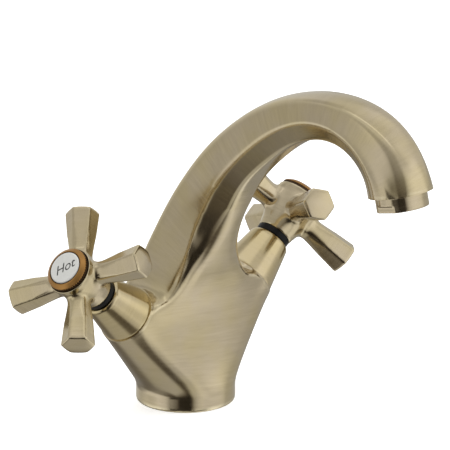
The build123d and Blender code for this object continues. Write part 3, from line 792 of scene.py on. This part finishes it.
for name, side in (("hot", -1), ("cold", 1)):
    place = valve_matrix(side)
    turning = name + "_handle_set"

    skirt = spun(name + "_cone_cover", [
        (SKIRT_BASE_RADIUS - SKIRT_WALL, 0, 0.1), (SKIRT_BASE_RADIUS, 0, 0.35),
        (SKIRT_BASE_RADIUS, SKIRT_RIM, 0.45), (SKIRT_TOP_RADIUS, SKIRT_HEIGHT, 0.8),
        (MOUTH_RADIUS, MOUTH_TOP, 0.4), (SKIRT_BORE, MOUTH_TOP, 0.3),
        (SKIRT_BORE, WEB_TOP, 0.1), (SKIRT_HOLE, WEB_TOP, 0.1), (SKIRT_HOLE, WEB_LOW, 0.2),
        (WEB_RADIUS, WEB_LOW, 0.3), (SKIRT_BASE_RADIUS - SKIRT_WALL, SKIRT_RIM, 0.3),
    ], place)
    paint(skirt, WARM_BRONZE)
    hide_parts(name + "_cone_skirt")
    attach(skirt, "mixer")

    cross = remeshed(name + "_handle", name + "_cross_handle", HANDLE_VOXEL, [
        (14, 100, everywhere), (170, 0, handle_roots(place)), (8, 40, everywhere),
    ], along=place @ Matrix.Rotation(radians(-side * ARM_REST_ANGLE), 4, "Z"))
    # Painted highlight on the handle's convex edges
    set_edge_sheen(cross.data, HANDLE_VOXEL, *HANDLE_SHEEN)
    handle_finish(cross.data, side, place)
    paint(cross, BRONZE)
    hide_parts(name + "_handle")
    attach(cross, turning)

    glide = spun(name + "_black_ring", [
        (GLIDE_BORE, SPIGOT_START, 0.2), (GLIDE_SLEEVE, SPIGOT_START, 0.3), (GLIDE_SLEEVE, GLIDE_LOW, 0.2),
        (GLIDE_RADIUS, GLIDE_LOW, 0.5), (GLIDE_RADIUS, HUB_BOTTOM, 0.3), (GLIDE_BORE, HUB_BOTTOM, 0.2),
    ], place)
    paint(glide, BLACK)
    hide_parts(name + "_glide_ring")
    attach(glide, turning)

    ring = spun(name + "_copper_ring", [
        (INDEX_LIP_RADIUS, INDEX_SEAT, 0.2), (INDEX_RADIUS, INDEX_SEAT, 0.2),
        (INDEX_RADIUS, INDEX_BAND_TOP, 0.35), (INDEX_TOP_RADIUS, INDEX_TOP, 0.3),
        (DISC_RADIUS + DISC_GAP, INDEX_TOP, 0.15), (DISC_RADIUS + DISC_GAP, INDEX_LIP_TOP, 0.1),
        (INDEX_LIP_RADIUS, INDEX_LIP_TOP, 0.2),
    ], place, segments=KNURL_TEETH * KNURL_STEPS, longest=KNURL_RUN, relief=knurl)
    paint(ring, COPPER)
    # Painted shade on the ring's lower outer side and on its inner wall by the disc
    ring.data.materials.append(SHADED_COPPER)
    for face in ring.data.polygons:
        middle = place.inverted() @ (face.center / MM)
        on_side = middle.z < INDEX_BAND_TOP - SHADE_BELOW
        by_disc = middle.xy.length < DISC_RADIUS + SHADE_INSIDE
        face.material_index = int(on_side or by_disc)
    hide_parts(name + "_index_ring")
    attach(ring, turning)

    disc = spun(name + "_white_disc", [
        (0, INDEX_LIP_TOP, 0), (DISC_RADIUS, INDEX_LIP_TOP, 0.2), (DISC_RADIUS, INDEX_TOP, 0.2),
        (DISC_RADIUS - DISC_BEVEL, DISC_FACE, 0.3), (0, DISC_FACE, 0),
    ], place)
    paint(disc, WHITE)
    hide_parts(name + "_index_disc")
    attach(disc, turning)

    add_word(name, side, place, turning)

    for piece, material in (
        ("valve_bonnet", BRASS), ("bonnet_washer", RUBBER), ("seat_seal", RUBBER), ("stator_disc", CERAMIC),
        ("rotor_disc", CERAMIC), ("spindle", BRASS), ("spindle_orings", RUBBER), ("spindle_clip", STEEL),
        ("handle_screw", STEEL),
    ):
        paint(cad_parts[name + "_" + piece], material)

# Solids of the base and the aerator that keep their shape
paint(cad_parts["base_gasket"], RUBBER)
paint(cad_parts["aerator_washer"], RUBBER)
paint(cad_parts["aerator_screen"], STEEL)
paint(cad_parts["aerator_core"], WHITE)

# Camera: its angles, the width that it sees, its distance, and the point that it looks at in its own plane
AZIMUTH = radians(-45.5)
ELEVATION = radians(18.5)
FIELD = 209.3 * MM
DISTANCE = 8.0
SENSOR = 36.0
CLIP_END = 100.0
TARGET_RIGHT = 18.37
TARGET_UP = 80.23
right = Vector((cos(AZIMUTH), sin(AZIMUTH), 0))
back = Vector((sin(AZIMUTH) * cos(ELEVATION), -cos(AZIMUTH) * cos(ELEVATION), sin(ELEVATION)))
up = back.cross(right)
target = (right * TARGET_RIGHT + up * TARGET_UP) * MM
lens = bpy.data.cameras.new("camera")
lens.sensor_width = SENSOR
lens.lens = SENSOR * DISTANCE / FIELD
lens.clip_end = CLIP_END
camera = link(bpy.data.objects.new("camera", lens))
facing = Matrix((right, up, back)).transposed().to_4x4()
camera.matrix_world = Matrix.Translation(target + back * DISTANCE) @ facing
bpy.context.scene.camera = camera
bpy.context.scene.view_settings.view_transform = "Standard"

# Floor
FLOOR_HALF = 4.0
FLOOR_LOOK = {
    "Base Color": (0.9, 0.9, 0.9, 1.0), "Roughness": 0.9, "Specular IOR Level": 0.0,
    "Emission Color": (1.0, 1.0, 1.0, 1.0), "Emission Strength": 0.6,
}
floor_mesh = bpy.data.meshes.new("floor")
corners = [(-FLOOR_HALF, -FLOOR_HALF, 0), (FLOOR_HALF, -FLOOR_HALF, 0),
           (FLOOR_HALF, FLOOR_HALF, 0), (-FLOOR_HALF, FLOOR_HALF, 0)]
floor_mesh.from_pydata(corners, [], [(0, 1, 2, 3)])
floor = link(bpy.data.objects.new("floor", floor_mesh))
floor_material = bpy.data.materials.new("floor")
floor_material.use_nodes = True
paper = floor_material.node_tree.nodes["Principled BSDF"]
for socket, value in FLOOR_LOOK.items():
    paper.inputs[socket].default_value = value
paint(floor, floor_material)
floor.visible_glossy = False
floor.visible_diffuse = False

# Studio surroundings by bearing, counted from the camera's side to the right, and by height, in degrees
world = bpy.data.worlds.new("studio")
bpy.context.scene.world = world
world.use_nodes = True
sky = Nodes(world.node_tree)
heading = sky.add("ShaderNodeTexCoord").outputs["Generated"]
toward = sky.dot(heading, (sin(AZIMUTH), -cos(AZIMUTH), 0))
sideways = sky.dot(heading, tuple(right))
upward = sky.add("ShaderNodeSeparateXYZ", {0: heading}).outputs["Z"]
bearing = sky.math("ADD", sky.math("DIVIDE", sky.math("ARCTAN2", sideways, toward), 2 * pi), 0.5)
height = sky.math("ADD", sky.math("DIVIDE", sky.math("ARCSINE", upward), pi), 0.5)


def by_bearing(stops):
    return sky.ramp(bearing, [(degrees / 360 + 0.5, level) for degrees, level in stops])


def by_height(stops):
    return sky.ramp(height, [(degrees / 180 + 0.5, level) for degrees, level in stops])


# Walls, with a shade to the right, a light to the left and a dark panel in front
walls = by_bearing([
    (-180, 0.58), (-165, 0.70), (-148, 0.62), (-112, 0.50), (-90, 0.47), (-78, 0.55), (-66, 0.70),
    (-46, 0.70), (-32, 0.58), (-21, 0.32), (-14, 0.03), (14, 0.02), (20, 0.33), (30, 0.66), (44, 0.87),
    (60, 0.98), (94, 0.98), (108, 0.70), (140, 0.62), (180, 0.58),
])
shaded_right = sky.math("MULTIPLY", by_bearing([(40, 0.0), (62, 0.29), (140, 0.30)]),
                        by_height([(-4, 1.0), (6, 0.0)]))
lit_left = sky.math("MULTIPLY", by_bearing([(-125, 0.0), (-105, 0.45), (-60, 0.2), (-44, 0.0)]),
                    by_height([(-20, 1.0), (-14, 0.0)]))
walls = sky.math("MULTIPLY", walls, sky.math("SUBTRACT", sky.math("ADD", lit_left, 1.0), shaded_right))
panel = sky.math("MULTIPLY", by_bearing([(-46, 0.0), (-39, 0.92), (-14, 0.92), (-10, 0.0)]),
                 by_height([(-17, 0.0), (-14, 1.0), (-2, 1.0), (3, 0.0)]))
walls = sky.math("MULTIPLY", walls, sky.math("SUBTRACT", 1.0, panel))
haze = by_height([(2, 0.0), (26, 0.31), (38, 0.36)])
walls = sky.math("MAXIMUM", walls, haze)

# Lower and upper bands of the walls, and the ceiling
ZENITH = (0.66, 0.66, 0.66)
skirting = by_bearing([
    (-180, 0.20), (-148, 0.22), (-126, 0.40), (-108, 0.74), (-70, 0.84), (-50, 0.70), (-43, 0.50),
    (-37, 0.03), (15, 0.02), (23, 0.50), (32, 0.60), (50, 0.50), (66, 0.85), (92, 0.84), (108, 0.48),
    (140, 0.40), (180, 0.20),
])
skirting_share = by_height([(-25, 1.0), (-17, 0.0)])
coving = by_bearing([
    (-180, 0.70), (-155, 0.48), (-130, 0.43), (-112, 0.58), (-92, 0.50), (-45, 0.47), (-15, 0.38),
    (12, 0.40), (34, 0.60), (66, 0.66), (90, 0.82), (130, 0.74), (160, 0.80), (180, 0.70),
])
coving_share = by_height([(28, 0.0), (38, 1.0)])
zenith_share = by_height([(50, 0.0), (66, 1.0)])
upper = sky.mix(zenith_share, sky.mix(coving_share, walls, coving), ZENITH)
upper = sky.mix(skirting_share, upper, skirting)

# Strip light overhead, across the view
STRIP_TURN = radians(40.0)
STRIP_HALF = 0.05
STRIP_EDGE = 0.1
STRIP_LIGHT = (1.0, 1.0, 1.0)
beside_strip = sky.math("ADD", sky.math("MULTIPLY", toward, cos(STRIP_TURN)),
                        sky.math("MULTIPLY", sideways, -sin(STRIP_TURN)))
strip_width = sky.ramp(sky.math("ABSOLUTE", beside_strip), [(STRIP_HALF, 1.0), (STRIP_EDGE, 0.0)])
strip_share = sky.math("MULTIPLY", strip_width, by_height([(58, 0.0), (68, 1.0)]))
upper = sky.mix(strip_share, upper, STRIP_LIGHT)

# Table under the object, with a gap to the lights on either side, by shares sideways and forward
TABLE_WIDTH = 4.0
LEAST_DEPTH = 0.05
depth = sky.math("MAXIMUM", sky.math("MULTIPLY", upward, -1.0), LEAST_DEPTH)
offset = sky.math("ADD", sky.math("DIVIDE", sky.math("DIVIDE", sideways, depth), TABLE_WIDTH), 0.5)
reach = sky.math("ADD", sky.math("MULTIPLY", toward, 0.5), 0.5)


def by_offset(stops):
    return sky.ramp(offset, [(share / TABLE_WIDTH + 0.5, level) for share, level in stops])


def by_reach(stops):
    return sky.ramp(reach, [(share / 2 + 0.5, level) for share, level in stops])


left_gap = by_reach([(-0.55, 0.15), (-0.35, 0.2), (-0.1, 0.3), (0.15, 0.26), (0.35, 0.17), (0.46, 0.09)])
right_gap = by_reach([
    (-0.55, 0.34), (-0.42, 0.40), (-0.28, 0.90), (0.05, 0.7), (0.22, 0.45), (0.36, 0.17), (0.5, 0.08),
])
sheet = by_reach([(-0.5, 0.18), (-0.36, 0.42), (0.0, 0.45), (0.5, 0.48), (0.75, 0.1)])
left_share = by_offset([(-0.46, 0.0), (-0.34, 1.0)])
right_share = by_offset([(0.06, 0.0), (0.26, 1.0)])
table = sky.mix(right_share, sky.mix(left_share, left_gap, sheet), right_gap)
on_table = sky.math("MULTIPLY", by_offset([(-1.15, 0.0), (-0.85, 1.0), (0.8, 1.0), (1.1, 0.0)]),
                    by_height([(-44, 1.0), (-34, 0.0)]))

# Warm tint of the darker surroundings
SKY_STRENGTH = 1.12
surroundings = sky.ramp(sky.mix(on_table, upper, table), [
    (0.0, (0.0, 0.0, 0.0)), (0.1, (0.115, 0.10, 0.082)), (0.35, (0.357, 0.35, 0.33)),
    (0.7, (0.70, 0.70, 0.685)), (1.0, (1.0, 1.0, 1.0)),
])
background = sky.add("ShaderNodeBackground", {"Color": surroundings, "Strength": SKY_STRENGTH})
sky.add("ShaderNodeOutputWorld", {"Surface": background.outputs["Background"]})

# Soft overhead light for the floor and the matt pieces
LAMP_HEIGHT = 2.5
lamp = bpy.data.lights.new("overhead", "AREA")
lamp.shape = "DISK"
lamp.size = 3.0
lamp.energy = 30.0
overhead = link(bpy.data.objects.new("overhead", lamp))
overhead.location = (0, 0, LAMP_HEIGHT)
overhead.visible_glossy = False
